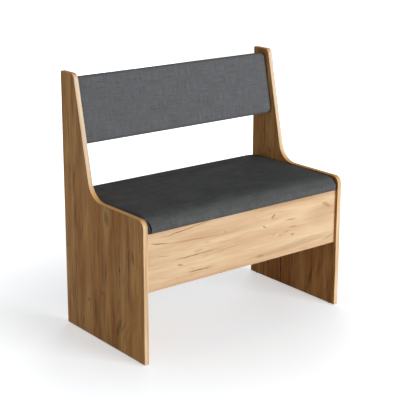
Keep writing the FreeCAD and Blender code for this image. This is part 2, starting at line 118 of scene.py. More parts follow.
def oak_print(name, grain, colours, growth, figure, seed, marks=(), knots=(), sawn_edges=False):
    """Printed oak. Grain gives which of x, y and z run along, across and through the board.

    Colours are the light, the blushed and the dark wood, and the marks. Growth is how strongly the broad
    bands show, and figure the narrow streaks. A mark is its place along and across, half length, half width,
    turn in degrees, strength, and the face that it lies on. A knot is its place along and across and its
    radius, and the grain flows round it. Sizes and places are in millimetres.
    """
    light, blushed, dark, mark_colour = (linear(colour) for colour in colours)
    material, tree, shader = start_material(name, 0.48)
    shader.inputs["Specular IOR Level"].default_value = 0.1
    place = add_node(tree, "TexCoord", {})
    axes = add_node(tree, "SeparateXYZ", {0: place.outputs["Object"]})
    turned = add_node(tree, "CombineXYZ",
                      {i: axes.outputs["XYZ".index(axis)] for i, axis in enumerate(grain)})
    scaled = add_node(tree, "VectorMath", {0: turned.outputs[0], "Scale": 1000.0}, operation="SCALE")
    flat = scaled.outputs[0]

    # The grain wanders a few millimetres over half a metre, and bows out round each knot
    slow = add_node(tree, "Mapping", {0: flat, 1: (seed, seed, seed), 3: (1 / 260.0, 1 / 60.0, 1 / 60.0)})
    drift = add_node(tree, "TexNoise", {"Vector": slow.outputs[0], "Scale": 1.0, "Detail": 4.0,
                                        "Roughness": 0.55})
    wander = add_node(tree, "MapRange", {0: drift.outputs[0], 3: -9.0, 4: 9.0})
    shift = wander.outputs[0]
    any_depth = 1e6
    for along, across, radius in knots:
        eye = add_node(tree, "Mapping", {0: flat, 1: (along, across, 0.0),
                                         3: (4.5 * radius, 2.2 * radius, any_depth)}, vector_type="TEXTURE")
        reach = add_node(tree, "VectorMath", {0: eye.outputs[0]}, operation="LENGTH")
        pull = add_node(tree, "MapRange", {0: reach.outputs["Value"], 3: -1.5 * radius, 4: 0.0},
                        interpolation_type="SMOOTHSTEP")
        side = add_node(tree, "SeparateXYZ", {0: eye.outputs[0]})
        bow = add_node(tree, "Math", {0: pull.outputs[0], 1: side.outputs[1], 2: shift},
                       operation="MULTIPLY_ADD")
        shift = bow.outputs[0]
    bend = add_node(tree, "CombineXYZ", {1: shift})
    wood = add_node(tree, "VectorMath", {0: flat, 1: bend.outputs[0]}).outputs[0]

    # Growth bands, streaks, blotches and fibres: (length, width, strength), in millimetres
    tone = None
    layers = ((900.0, 58.0, 0.46 * growth), (320.0, 24.0, 0.34 * growth), (170.0, 30.0, 0.32 * figure),
              (110.0, 11.0, 0.32 * figure), (150.0, 4.5, 0.26 * figure), (70.0, 2.2, 0.30 * figure))
    for i, (length, width, strength) in enumerate(layers):
        spot = add_node(tree, "Mapping", {0: wood, 1: (seed * (i + 1), seed, 0.0),
                                          3: (1 / length, 1 / width, 1 / 40.0)})
        grain_noise = add_node(tree, "TexNoise", {"Vector": spot.outputs[0], "Scale": 1.0, "Detail": 2.0,
                                                  "Distortion": 0.3})
        layer = add_node(tree, "MapRange", {0: grain_noise.outputs[0], 1: 0.3, 2: 0.7,
                                            3: -strength, 4: strength})
        tone = layer.outputs[0] if tone is None else add_node(
            tree, "Math", {0: tone, 1: layer.outputs[0]}, operation="ADD").outputs[0]
    level = add_node(tree, "MapRange", {0: tone, 1: -1.0, 2: 1.0})
    blush_place = add_node(tree, "Mapping", {0: wood, 1: (seed, 2.0 * seed, 0.0),
                                             3: (1 / 420.0, 1 / 48.0, 1 / 40.0)})
    blush = add_node(tree, "TexNoise", {"Vector": blush_place.outputs[0], "Scale": 1.0, "Detail": 1.0})
    warm = add_node(tree, "MapRange", {0: blush.outputs[0], 1: 0.38, 2: 0.62})
    pale = add_node(tree, "Mix", {0: warm.outputs[0], 6: light, 7: blushed}, data_type="RGBA")
    colour = add_node(tree, "Mix", {0: level.outputs[0], 6: pale.outputs[2], 7: dark}, data_type="RGBA")

    # Hairline cracks follow the level lines of a stretched noise, in patches
    line_place = add_node(tree, "Mapping", {0: wood, 1: (0.0, seed, seed),
                                            3: (1 / 170.0, 1 / 17.0, 1 / 30.0)})
    line_noise = add_node(tree, "TexNoise", {"Vector": line_place.outputs[0], "Scale": 1.0, "Detail": 1.0})
    beside = add_node(tree, "Math", {0: line_noise.outputs[0], 1: 0.5}, operation="SUBTRACT")
    off_line = add_node(tree, "Math", {0: beside.outputs[0]}, operation="ABSOLUTE")
    patch_place = add_node(tree, "Mapping", {0: flat, 1: (seed, 0.0, 0.0),
                                             3: (1 / 120.0, 1 / 26.0, 1 / 30.0)})
    patch = add_node(tree, "TexNoise", {"Vector": patch_place.outputs[0], "Scale": 1.0})
    in_patch = add_node(tree, "MapRange", {0: patch.outputs[0], 1: 0.52, 2: 0.64, 4: 0.6 * figure})
    crack = add_node(tree, "MapRange", {0: off_line.outputs[0], 2: 0.03, 3: in_patch.outputs[0], 4: 0.0})

    # The larger cracks, knots and smudges of this panel, a little ragged
    fray_place = add_node(tree, "Mapping", {0: flat, 3: (1 / 30.0, 1 / 12.0, 1 / 12.0)})
    fray = add_node(tree, "TexNoise", {"Vector": fray_place.outputs[0], "Scale": 1.0, "Detail": 3.0})
    ragged = add_node(tree, "VectorMath", {0: fray.outputs["Color"], 1: (0.5, 0.5, 0.5)},
                      operation="SUBTRACT")
    frayed = add_node(tree, "VectorMath", {0: ragged.outputs[0], 1: (20.0, 7.0, 0.0), 2: flat},
                      operation="MULTIPLY_ADD")
    dark_marks = crack.outputs[0]
    for along, across, half_length, half_width, turn, strength, face in marks:
        spot = add_node(tree, "Mapping", {0: frayed.outputs[0], 1: (along, across, face),
                                          2: (0.0, 0.0, math.radians(turn)),
                                          3: (half_length, half_width, 8.0)}, vector_type="TEXTURE")
        reach = add_node(tree, "VectorMath", {0: spot.outputs[0]}, operation="LENGTH")
        mark = add_node(tree, "MapRange", {0: reach.outputs["Value"], 1: 0.25, 2: 1.15, 3: strength, 4: 0.0},
                        interpolation_type="SMOOTHSTEP")
        joined = add_node(tree, "Math", {0: dark_marks, 1: mark.outputs[0]}, operation="MAXIMUM")
        dark_marks = joined.outputs[0]
    marked = add_node(tree, "Mix", {0: dark_marks, 6: colour.outputs[2], 7: mark_colour}, data_type="RGBA")
    surface = marked.outputs[2]

    if sawn_edges:
        direction = add_node(tree, "SeparateXYZ", {0: place.outputs["Normal"]})
        facing = add_node(tree, "Math", {0: direction.outputs["XYZ".index(grain[2])]}, operation="ABSOLUTE")
        printed = add_node(tree, "Math", {0: facing.outputs[0], 1: 0.5}, operation="GREATER_THAN")
        surface = add_node(tree, "Mix", {0: printed.outputs[0], 6: chipboard_colour(tree, flat), 7: surface},
                           data_type="RGBA").outputs[2]
    tree.links.new(surface, shader.inputs["Base Color"])

    # The press plate leaves fine pores along the fibres, and the sheen breaks up with them
    pore_place = add_node(tree, "Mapping", {0: flat, 3: (1 / 14.0, 1 / 0.9, 1 / 0.9)})
    pores = add_node(tree, "TexNoise", {"Vector": pore_place.outputs[0], "Scale": 1.0, "Detail": 2.0})
    gloss = add_node(tree, "MapRange", {0: pores.outputs[0], 1: 0.3, 2: 0.7, 3: 0.42, 4: 0.56})
    tree.links.new(gloss.outputs[0], shader.inputs["Roughness"])
    depth = add_node(tree, "Math", {0: pores.outputs[0], 1: dark_marks}, operation="SUBTRACT")
    relief = add_node(tree, "Bump", {"Strength": 0.25, "Distance": 0.0002, "Height": depth.outputs[0]})
    tree.links.new(relief.outputs[0], shader.inputs["Normal"])
    return material


# The sides are printed darker and more golden than the front: partly the print's own tone, partly a painted
# warm shade, as their faces mostly turn away from the lamps
side_print_and_shade_colours = ("f2be7b", "e2a564", "9c622c", "4a2810")
left_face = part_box("side_panel_left")[0].x * 1000.0
right_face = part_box("side_panel_right")[0].x * 1000.0
left_marks = (
    (280.0, -93.0, 13.0, 4.5, 0.0, 0.95, left_face),
    (235.0, -93.0, 40.0, 2.5, 0.0, 0.55, left_face),
    (300.0, -92.0, 110.0, 5.0, 1.0, 0.40, left_face),
    (280.0, -76.0, 110.0, 7.0, 2.0, 0.30, left_face),
    (240.0, -15.0, 34.0, 2.6, -3.0, 0.80, left_face),
    (172.0, 3.0, 20.0, 4.0, 30.0, 0.60, left_face),
    (430.0, -25.0, 32.0, 17.0, 8.0, 0.50, left_face),
    (435.0, -30.0, 12.0, 7.0, 0.0, 0.35, left_face),
    (402.0, 158.0, 60.0, 2.8, 5.0, 0.70, left_face),
    (380.0, 168.0, 42.0, 2.5, -7.0, 0.60, left_face),
    (345.0, 130.0, 34.0, 3.0, 4.0, 0.55, left_face),
    (105.0, 50.0, 75.0, 2.8, 1.0, 0.75, left_face),
    (110.0, 40.0, 80.0, 8.0, 1.0, 0.30, left_face),
    (125.0, 88.0, 9.0, 5.0, 0.0, 0.80, left_face),
    (230.0, -142.0, 62.0, 3.0, 1.0, 0.55, left_face),
    (340.0, -167.0, 30.0, 9.0, 6.0, 0.50, left_face),
    (75.0, -80.0, 40.0, 9.0, -12.0, 0.60, left_face),
    (95.0, -112.0, 52.0, 3.0, -30.0, 0.50, left_face),
    (80.0, -130.0, 45.0, 3.0, -32.0, 0.40, left_face),
    (40.0, 128.0, 24.0, 4.0, 0.0, 0.50, left_face),
    (80.0, 208.0, 75.0, 4.0, 0.0, 0.40, left_face),
    (520.0, 165.0, 65.0, 8.0, -5.0, 0.35, left_face),
    (560.0, 150.0, 40.0, 3.0, -6.0, 0.45, left_face),
    (690.0, 188.0, 90.0, 5.0, 3.0, 0.30, left_face),
)
right_marks = (
    (95.0, 57.0, 170.0, 4.2, 0.0, 0.95, right_face),
    (95.0, 130.0, 170.0, 3.4, 1.0, 0.75, right_face),
    (120.0, -20.0, 70.0, 3.0, -2.0, 0.55, right_face),
    (70.0, -100.0, 60.0, 10.0, -14.0, 0.55, right_face),
    (110.0, -140.0, 50.0, 4.0, -16.0, 0.45, right_face),
    (150.0, 20.0, 16.0, 7.0, 0.0, 0.50, right_face),
    (560.0, 160.0, 80.0, 3.0, 0.0, 0.55, right_face),
    (600.0, 200.0, 70.0, 3.0, 2.0, 0.45, right_face),
    (700.0, 120.0, 50.0, 3.0, -12.0, 0.45, right_face),
)
left_knots = ((280.0, -93.0, 9.0), (125.0, 88.0, 7.0), (430.0, -25.0, 14.0), (90.0, -95.0, 16.0))
right_knots = ((150.0, 20.0, 9.0), (610.0, 150.0, 9.0))
dress(oak_print("golden oak print, left side", "ZYX", side_print_and_shade_colours, 0.95, 0.95, 3.7,
                left_marks, left_knots, True), "side_panel_left")
dress(oak_print("golden oak print, right side", "ZYX", side_print_and_shade_colours, 0.85, 0.9, 8.3,
                right_marks, right_knots, True), "side_panel_right")


# Edge bands
# A 1 mm strip of ABS, printed to match the boards but paler, is glued along the front and top edges of
# each side panel. Its long edges are scraped round.

def oak_band(name):
    """Printed ABS edging, with fibres that run along the strip and vary only across its width.

    Its top faces are painted more golden, as painted shade, and the upright above the seat is painted paler,
    as a painted sheen, as in the photograph.
    """
    material, tree, shader = start_material(name, 0.5)
    shader.inputs["Specular IOR Level"].default_value = 0.0
    place = add_node(tree, "TexCoord", {})
    strip = add_node(tree, "Mapping", {0: place.outputs["Object"], 3: (1 / 0.0052, 1 / 0.19, 1 / 0.19)})
    fibres = add_node(tree, "TexNoise", {"Vector": strip.outputs[0], "Scale": 1.0, "Detail": 3.0})
    level = add_node(tree, "MapRange", {0: fibres.outputs[0], 1: 0.3, 2: 0.7})
    low = add_node(tree, "Mix", {0: level.outputs[0], 6: linear("f6d9b3"), 7: linear("cfa474")},
                   data_type="RGBA")
    # Painted sheen: above the seat the upright is painted paler, standing in for the sheen it catches
    height = add_node(tree, "SeparateXYZ", {0: place.outputs["Object"]})
    upright_sheen = add_node(tree, "MapRange", {0: height.outputs[2], 1: 0.48, 2: 0.60, 4: 0.35})
    pale = add_node(tree, "Mix", {0: upright_sheen.outputs[0], 6: low.outputs[2], 7: linear("fdf1de")},
                    data_type="RGBA")
    # Painted shade: faces turned up are painted more golden and darker, standing in for the shade on them
    direction = add_node(tree, "SeparateXYZ", {0: place.outputs["Normal"]})
    top_shade = add_node(tree, "MapRange", {0: direction.outputs[2], 1: 0.3, 2: 0.9, 4: 0.65})
    colour = add_node(tree, "Mix", {0: top_shade.outputs[0], 6: pale.outputs[2], 7: linear("eaa656")},
                      data_type="RGBA")
    tree.links.new(colour.outputs[2], shader.inputs["Base Color"])
    relief = add_node(tree, "Bump", {"Strength": 0.2, "Distance": 0.0002, "Height": fibres.outputs[0]})
    tree.links.new(relief.outputs[0], shader.inputs["Normal"])
    return material


dress(oak_band("oak ABS edging"), "edge_band_left", "edge_band_right")


# Box panels
# The front panel, with its grain sideways, closes the storage box. The rear panel and the floor panel are
# of the same board. All three are held between the side panels by cams and dowels.

front_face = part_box("front_panel")[0].y * 1000.0
front_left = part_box("front_panel")[0].x * 1000.0
front_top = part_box("front_panel")[1].z * 1000.0

# Marks and knots are placed from the panel's upper left corner
front_marks = tuple(
    (front_left + along, front_top - down, half_length, half_width, turn, strength, front_face)
    for along, down, half_length, half_width, turn, strength in (
        (142.0, 14.0, 78.0, 2.2, 6.0, 0.90),
        (210.0, 7.0, 60.0, 2.2, 5.0, 0.55),
        (52.0, 39.0, 46.0, 2.6, -7.0, 0.85),
        (190.0, 52.0, 140.0, 3.4, -3.0, 0.38),
        (340.0, 59.0, 130.0, 3.0, 0.0, 0.26),
        (195.0, 104.0, 110.0, 2.4, 1.0, 0.80),
        (330.0, 110.0, 70.0, 2.4, 0.0, 0.30),
        (208.0, 158.0, 56.0, 2.4, -3.0, 0.80),
        (70.0, 84.0, 34.0, 3.4, -6.0, 0.30),
        (521.0, 42.0, 14.0, 6.5, 50.0, 0.60),
        (522.0, 40.0, 5.0, 3.0, 50.0, 0.60),
        (482.0, 70.0, 12.0, 3.6, -40.0, 0.65),
        (607.0, 121.0, 8.0, 4.5, 0.0, 0.75),
        (132.0, 126.0, 14.0, 4.5, -8.0, 0.60),
        (315.0, 54.0, 12.0, 7.0, 0.0, 0.28),
        (205.0, 92.0, 22.0, 7.0, 0.0, 0.25),
        (768.0, 47.0, 34.0, 9.0, -28.0, 0.50),
        (756.0, 36.0, 18.0, 5.0, -10.0, 0.35),
        (598.0, 67.0, 30.0, 3.2, -4.0, 0.55),
        (612.0, 95.0, 22.0, 4.0, 0.0, 0.38),
        (465.0, 168.0, 26.0, 7.0, 6.0, 0.50),
        (650.0, 154.0, 46.0, 3.2, 5.0, 0.40),
        (778.0, 165.0, 36.0, 3.6, 12.0, 0.50),
        (600.0, 4.0, 330.0, 13.0, 0.0, 0.32),
        (620.0, 160.0, 240.0, 16.0, 3.0, 0.30),
        (750.0, 70.0, 90.0, 50.0, 0.0, 0.20),
        (300.0, 186.0, 330.0, 9.0, 0.0, 0.18),
        (330.0, 52.0, 200.0, 14.0, -3.0, 0.12),
    )
)
front_knots = tuple((front_left + along, front_top - down, radius)
                    for along, down, radius in ((521.0, 42.0, 10.0), (482.0, 70.0, 7.0), (607.0, 121.0, 7.0),
                                                (132.0, 126.0, 7.0), (768.0, 47.0, 14.0)))
dress(oak_print("golden oak print, front", "XZY", ("f3dcb6", "ebcfa9", "cca077", "8a5730"), 0.78, 0.50, 5.1,
                front_marks, front_knots), "front_panel")
box_colours = ("e2c08e", "d8ab7a", "a87a48", "6a4222")
dress(oak_print("golden oak print, rear", "XZY", box_colours, 0.75, 0.6, 12.9,
                (), ((-150.0, 330.0, 9.0), (230.0, 290.0, 7.0))), "rear_panel")
dress(oak_print("golden oak print, floor", "XYZ", box_colours, 0.75, 0.6, 21.4,
                (), ((90.0, 20.0, 8.0), (-260.0, -90.0, 9.0))), "floor_panel")


# Dowels and cam fittings
# Fluted beech dowels place each joint, and zinc cam discs pull it tight on steel bolts. A tan plastic cap
# closes each cam bore on the inside of the box.

def plain_plastic(name, colour, roughness, grain_size):
    """Moulded plastic with the fine spark-eroded texture of its tool, grain_size in millimetres."""
    material, tree, shader = start_material(name, roughness)
    place = add_node(tree, "TexCoord", {})
    speckle = add_node(tree, "TexNoise", {"Vector": place.outputs["Object"], "Scale": 1000.0 / grain_size,
                                          "Detail": 2.0})
    shade = add_node(tree, "MapRange", {0: speckle.outputs[0], 3: 0.12, 4: 0.0})
    mixed = add_node(tree, "Mix", {0: shade.outputs[0], 6: linear(colour), 7: linear("1c1814")},
                     data_type="RGBA")
    relief = add_node(tree, "Bump", {"Strength": 0.3, "Distance": 0.0001, "Height": speckle.outputs[0]})
    tree.links.new(mixed.outputs[2], shader.inputs["Base Color"])
    tree.links.new(relief.outputs[0], shader.inputs["Normal"])
    return material


def turned_beech(name):
    """Pale turned beech with its short dark flecks."""
    material, tree, shader = start_material(name, 0.6)
    place = add_node(tree, "TexCoord", {})
    fleck_place = add_node(tree, "Mapping", {0: place.outputs["Object"],
                                             3: (1 / 0.003, 1 / 0.0006, 1 / 0.0006)})
    flecks = add_node(tree, "TexNoise", {"Vector": fleck_place.outputs[0], "Scale": 1.0, "Detail": 2.0})
    dark_fleck = add_node(tree, "MapRange", {0: flecks.outputs[0], 1: 0.55, 2: 0.7})
    mixed = add_node(tree, "Mix", {0: dark_fleck.outputs[0], 6: linear("dcbc94"), 7: linear("a87f55")},
                     data_type="RGBA")
    tree.links.new(mixed.outputs[2], shader.inputs["Base Color"])
    return material


def zinc_plate(name, roughness, grain_size):
    """Zinc-plated steel: a cool grey metal whose crystals break up the reflection, size in millimetres."""
    material, tree, shader = start_material(name, roughness)
    shader.inputs["Metallic"].default_value = 1.0
    place = add_node(tree, "TexCoord", {})
    crystals = add_node(tree, "TexNoise", {"Vector": place.outputs["Object"], "Scale": 1000.0 / grain_size,
                                           "Detail": 3.0})
    tint = add_node(tree, "Mix", {0: crystals.outputs[0], 6: linear("b2b4b2"), 7: linear("8a8c8d")},
                    data_type="RGBA")
    dull = add_node(tree, "MapRange", {0: crystals.outputs[0], 1: 0.3, 2: 0.7, 3: roughness - 0.08,
                                       4: roughness + 0.12})
    tree.links.new(tint.outputs[2], shader.inputs["Base Color"])
    tree.links.new(dull.outputs[0], shader.inputs["Roughness"])
    return material


plated_steel = zinc_plate("zinc-plated steel", 0.34, 2.5)
dress(turned_beech("beech dowel"), "dowels")
dress(plated_steel, "cam_bolts", "cam_discs")
dress(plain_plastic("tan cap plastic", "b98f5e", 0.45, 0.6), "cam_caps")


# Hinges
# Two pressed steel butt hinges carry the lid. One leaf is screwed to the rear panel and the other under
# the lid board, with a plated pin through the knuckles and countersunk screws.

dress(plated_steel,
      "hinge_left_fixed_leaf", "hinge_right_fixed_leaf", "hinge_left_lid_leaf", "hinge_right_lid_leaf",
      "hinge_left_pin", "hinge_right_pin", "hinge_fixed_screws", "hinge_lid_screws")


# Seat lid
# A chipboard lid with flat foam on it, under a tight anthracite woven cover. The front edge rolls over the
# foam, with a pleat folded in at each end, and the cover is turned under the board and stapled.

def raw_board(name):
    """Unfaced chipboard, matt, with its pressed chips showing."""
    material, tree, shader = start_material(name, 0.8)
    place = add_node(tree, "TexCoord", {})
    flat = add_node(tree, "VectorMath", {0: place.outputs["Object"], "Scale": 1000.0}, operation="SCALE")
    tree.links.new(chipboard_colour(tree, flat.outputs[0]), shader.inputs["Base Color"])
    return material


def open_foam(name):
    """Cut polyurethane foam, cream, with open cells of about a millimetre."""
    material, tree, shader = start_material(name, 0.95)
    place = add_node(tree, "TexCoord", {})
    cells = add_node(tree, "TexVoronoi", {"Vector": place.outputs["Object"], "Scale": 1000.0 / 1.2})
    depth = add_node(tree, "MapRange", {0: cells.outputs[0]})
    mixed = add_node(tree, "Mix", {0: depth.outputs[0], 6: linear("c9bd96"), 7: linear("efe8cf")},
                     data_type="RGBA")
    tree.links.new(mixed.outputs[2], shader.inputs["Base Color"])
    return material


def spun_cloth(name):
    """Black spun-bonded dust cloth, embossed with rows of small dots."""
    material, tree, shader = start_material(name, 0.9)
    dot_pitch = 2.2
    fibre_length = 5.0
    place = add_node(tree, "TexCoord", {})
    dots = add_node(tree, "TexVoronoi", {"Vector": place.outputs["Object"], "Scale": 1000.0 / dot_pitch,
                                         "Randomness": 0.15})
    dot = add_node(tree, "MapRange", {0: dots.outputs[0], 1: 0.15, 2: 0.35})
    fibre = add_node(tree, "TexNoise", {"Vector": place.outputs["Object"], "Scale": 1000.0 / fibre_length,
                                        "Detail": 4.0})
    shade = add_node(tree, "Math", {0: dot.outputs[0], 1: fibre.outputs[0]}, operation="MULTIPLY")
    mixed = add_node(tree, "Mix", {0: shade.outputs[0], 6: linear("131314"), 7: linear("3d3d3f")},
                     data_type="RGBA")
    relief = add_node(tree, "Bump", {"Strength": 0.5, "Distance": 0.0003, "Height": dot.outputs[0]})
    tree.links.new(mixed.outputs[2], shader.inputs["Base Color"])
    tree.links.new(relief.outputs[0], shader.inputs["Normal"])
    return material


def woven_cover(name, light, dark, slub_strength, cloud_share, roughness, seed, crease_shades=()):
    """A plain weave, read from the cover's own UV map in millimetres.

    The real threads are about 0.5 mm, too fine for the render, so they are drawn 1.2 mm apart. Slubs, the
    thick places in the yarn, run both ways and give the cloth its cross-hatched look, and a share of broad
    soft clouds shows where the nap lies differently. Each crease shade is (u, v, half width, half length) of
    a deep crease, painted near black there as painted shade, since hardly any light comes into it.
    """
    thread = 1.2
    material, tree, shader = start_material(name, roughness)
    shader.inputs["Specular IOR Level"].default_value = 0.0
    place = add_node(tree, "UVMap", {}, uv_map="cover")
    tone = None
    slubs = ((70.0, 1.6, 1.0), (1.8, 55.0, 1.0), (14.0, 14.0, 0.25), (90.0, 50.0, cloud_share))
    for i, (along, across, share) in enumerate(slubs):
        yarn = add_node(tree, "Mapping", {0: place.outputs[0], 1: (seed, seed * i, 0.0),
                                          3: (1 / along, 1 / across, 1.0)})
        thick = add_node(tree, "TexNoise", {"Vector": yarn.outputs[0], "Scale": 1.0, "Detail": 2.0})
        layer = add_node(tree, "MapRange", {0: thick.outputs[0], 1: 0.3, 2: 0.7, 3: -share * slub_strength,
                                            4: share * slub_strength})
        tone = layer.outputs[0] if tone is None else add_node(
            tree, "Math", {0: tone, 1: layer.outputs[0]}, operation="ADD").outputs[0]
    turn = add_node(tree, "VectorMath", {0: place.outputs[0], "Scale": math.pi / thread}, operation="SCALE")
    across = add_node(tree, "SeparateXYZ", {0: turn.outputs[0]})
    warp = add_node(tree, "Math", {0: across.outputs[0]}, operation="SINE")
    weft = add_node(tree, "Math", {0: across.outputs[1]}, operation="SINE")
    crossing = add_node(tree, "Math", {0: warp.outputs[0], 1: weft.outputs[0]}, operation="MULTIPLY")
    threads = add_node(tree, "MapRange", {0: crossing.outputs[0], 1: -1.0, 2: 1.0, 3: -0.12, 4: 0.12})
    total = add_node(tree, "Math", {0: tone, 1: threads.outputs[0]}, operation="ADD")
    level = add_node(tree, "MapRange", {0: total.outputs[0], 1: -1.0, 2: 1.0})
    colour = add_node(tree, "Mix", {0: level.outputs[0], 6: linear(dark), 7: linear(light)},
                      data_type="RGBA")
    # Painted shade: each crease is darkened towards near black, standing in for the shade inside the fold
    for u, v, half_width, half_length in crease_shades:
        crease = add_node(tree, "Mapping", {0: place.outputs[0], 1: (u, v, 0.0),
                                            3: (half_width, half_length, 1.0)}, vector_type="TEXTURE")
        reach = add_node(tree, "VectorMath", {0: crease.outputs[0]}, operation="LENGTH")
        shade = add_node(tree, "MapRange", {0: reach.outputs["Value"], 1: 0.7, 2: 1.1, 3: 0.9, 4: 0.0})
        colour = add_node(tree, "Mix", {0: shade.outputs[0], 6: colour.outputs[2], 7: linear("0d0d0e")},
                          data_type="RGBA")
    relief = add_node(tree, "Bump", {"Strength": 0.35, "Distance": 0.0004, "Height": total.outputs[0]})
    tree.links.new(colour.outputs[2], shader.inputs["Base Color"])
    tree.links.new(relief.outputs[0], shader.inputs["Normal"])
    return material


board_top = 0.017
hem_depth = 0.033


def cover_blank(size, edge_rounds, pleats):
    """The cushion's block with its edges rounded, cut into the close grid that the cover's shape needs."""
    length, width, thickness = size
    half = length / 2.0
    end_round = 0.010
    bm = bmesh.new()
    bmesh.ops.create_cube(bm, size=1.0)
    bmesh.ops.scale(bm, vec=size, verts=bm.verts)
    bmesh.ops.translate(bm, vec=(0, width / 2.0, thickness / 2.0), verts=bm.verts)
    for edge_y, rounding in zip((0.0, width), edge_rounds):
        rim = [e for e in bm.edges
               if all(abs(v.co.y - edge_y) < 0.001 and v.co.z > thickness / 2.0 for v in e.verts)]
        bmesh.ops.bevel(bm, geom=rim, offset=rounding, segments=8, affect="EDGES", profile=0.5, material=-1)
    ends = [e for e in bm.edges
            if abs(e.verts[0].co.x - e.verts[1].co.x) < 1e-6 and max(v.co.z for v in e.verts) > 1e-6
            and abs(abs(e.verts[0].co.x) - half) < 0.001]
    bmesh.ops.bevel(bm, geom=ends, offset=end_round, segments=5, affect="EDGES", profile=0.5, material=-1)

    # The grid is closer at the lower edge, at the ends, at the first edge and over the pleats
    step = 0.008
    heights = (0.0015, 0.006, 0.012, board_top, 0.019, 0.022, 0.027)
    from_end = (0.0008, 0.0018, 0.0032)
    from_first_edge = (0.0008, 0.0018, 0.0032, 0.0052)
    over_pleat = (-1.0, -0.6, 0.0, 0.6, 1.0)
    columns = int(half / step)
    cuts = [(Vector((x * step, 0, 0)), Vector((1, 0, 0))) for x in range(-columns, columns + 1)]
    cuts += [(Vector((0, y * step, 0)), Vector((0, 1, 0))) for y in range(1, int(width / step))]
    cuts += [(Vector((0, 0, z)), Vector((0, 0, 1))) for z in heights]
    cuts += [(Vector((side * (half - near), 0, 0)), Vector((1, 0, 0)))
             for side in (-1, 1) for near in from_end]
    cuts += [(Vector((0, near, 0)), Vector((0, 1, 0))) for near in from_first_edge]
    cuts += [(Vector((end * (half - inset + across * fold_half), 0, 0)), Vector((1, 0, 0)))
             for end, inset, fold_half, depth in pleats for across in over_pleat]
    for point, normal in cuts:
        everything = bm.verts[:] + bm.edges[:] + bm.faces[:]
        bmesh.ops.bisect_plane(bm, geom=everything, dist=1e-5, plane_co=point, plane_no=normal)
    bmesh.ops.remove_doubles(bm, verts=bm.verts, dist=5e-5)
    bmesh.ops.recalc_face_normals(bm, faces=bm.faces)
    return bm


def trim_foam(bm, size, corner_rounds, wadding, front_fall):
    """Pads the first edge with wadding, and trims the foam's corners round above the square board."""
    length, width, thickness = size
    half = length / 2.0
    board_corner = 0.003
    trim_low = 0.019
    trim_height = 0.015
    wadding_rise = 0.020
    wadding_reach = 0.060
    wadding_at_corner = 0.8
    fall_reach = 0.090
    for vertex in bm.verts:
        first = vertex.co.y < width / 2.0
        rise = min(max((vertex.co.z - trim_low) / trim_height, 0.0), 1.0)
        padding = wadding * (1.0 - (1.0 - min(vertex.co.z / wadding_rise, 1.0)) ** 2) if first else 0.0
        fall = max(1.0 - vertex.co.y / fall_reach, 0.0)
        vertex.co.z -= front_fall * rise * fall * fall
        vertex.co.y -= padding * max(1.0 - vertex.co.y / wadding_reach, 0.0)
        least = board_corner + wadding_at_corner * padding
        rounding = least + rise * (corner_rounds[0 if first else 1] - least)
        past_x = abs(vertex.co.x) - (half - rounding)
        past_y = (rounding - vertex.co.y - padding) if first else (vertex.co.y - (width - rounding))
        if past_x > 0 and past_y > 0:
            pull = 1.0 - max(past_x, past_y) / math.hypot(past_x, past_y)
            vertex.co.x -= math.copysign(past_x * pull, vertex.co.x)
            vertex.co.y += past_y * pull if first else -past_y * pull
    bm.normal_update()


def swell_cover(cushion, bm, crown):
    """Swells the cover with Blender's Cloth under pressure. It lies tight on the board below board_top."""
    bm.verts.ensure_lookup_table()
    clear_of_board = 0.0005
    reach = [math.hypot(v.normal.x * crown.x, v.normal.y * crown.y, v.normal.z * crown.z) for v in bm.verts]
    free = [v.co.z > board_top + clear_of_board for v in bm.verts]
    held = cushion.vertex_groups.new(name="stapled")
    held.add([v.index for v in bm.verts if not free[v.index]], 1.0, "REPLACE")
    cloth = cushion.modifiers.new("Cloth", "CLOTH")
    cloth.settings.quality = 6
    cloth.settings.mass = 0.3
    cloth.settings.tension_stiffness = 12.0
    cloth.settings.compression_stiffness = 12.0
    cloth.settings.shear_stiffness = 6.0
    cloth.settings.bending_stiffness = 0.8
    cloth.settings.use_pressure = True
    cloth.settings.uniform_pressure_force = 4.0
    cloth.settings.vertex_group_mass = "stapled"
    cloth.settings.effector_weights.gravity = 0.0
    settle_frames = 20
    for moment in range(1, settle_frames + 1):
        bpy.context.scene.frame_set(moment)
    swollen = cushion.evaluated_get(bpy.context.evaluated_depsgraph_get())
    swell = [(after.co - v.co).dot(v.normal) for v, after in zip(bm.verts, swollen.data.vertices)]
    cushion.modifiers.clear()
    cushion.vertex_groups.clear()
    bpy.context.scene.frame_set(1)

    # The foam carries the cover, so it moves out by no more than its crown, and hardly inwards
    inward_share = 0.12
    for i, cap in enumerate(reach):
        give = max(cap if swell[i] > 0 else cap * inward_share, 1e-6)
        swell[i] = give * math.tanh(swell[i] / give) if free[i] else 0.0
    smoothing_rounds = 6
    around = [[e.other_vert(v).index for e in v.link_edges] for v in bm.verts]
    for smoothing_round in range(smoothing_rounds):
        swell = [(s + sum(swell[j] for j in ring) / len(ring)) / 2.0 if free[i] else 0.0
                 for i, (s, ring) in enumerate(zip(swell, around))]
    dent_size = 0.085
    dent = 0.0005
    for vertex, out in zip(bm.verts, swell):
        if out > 0:
            out += dent * noise.noise(vertex.co / dent_size)
        vertex.co += vertex.normal * out
    bm.normal_update()


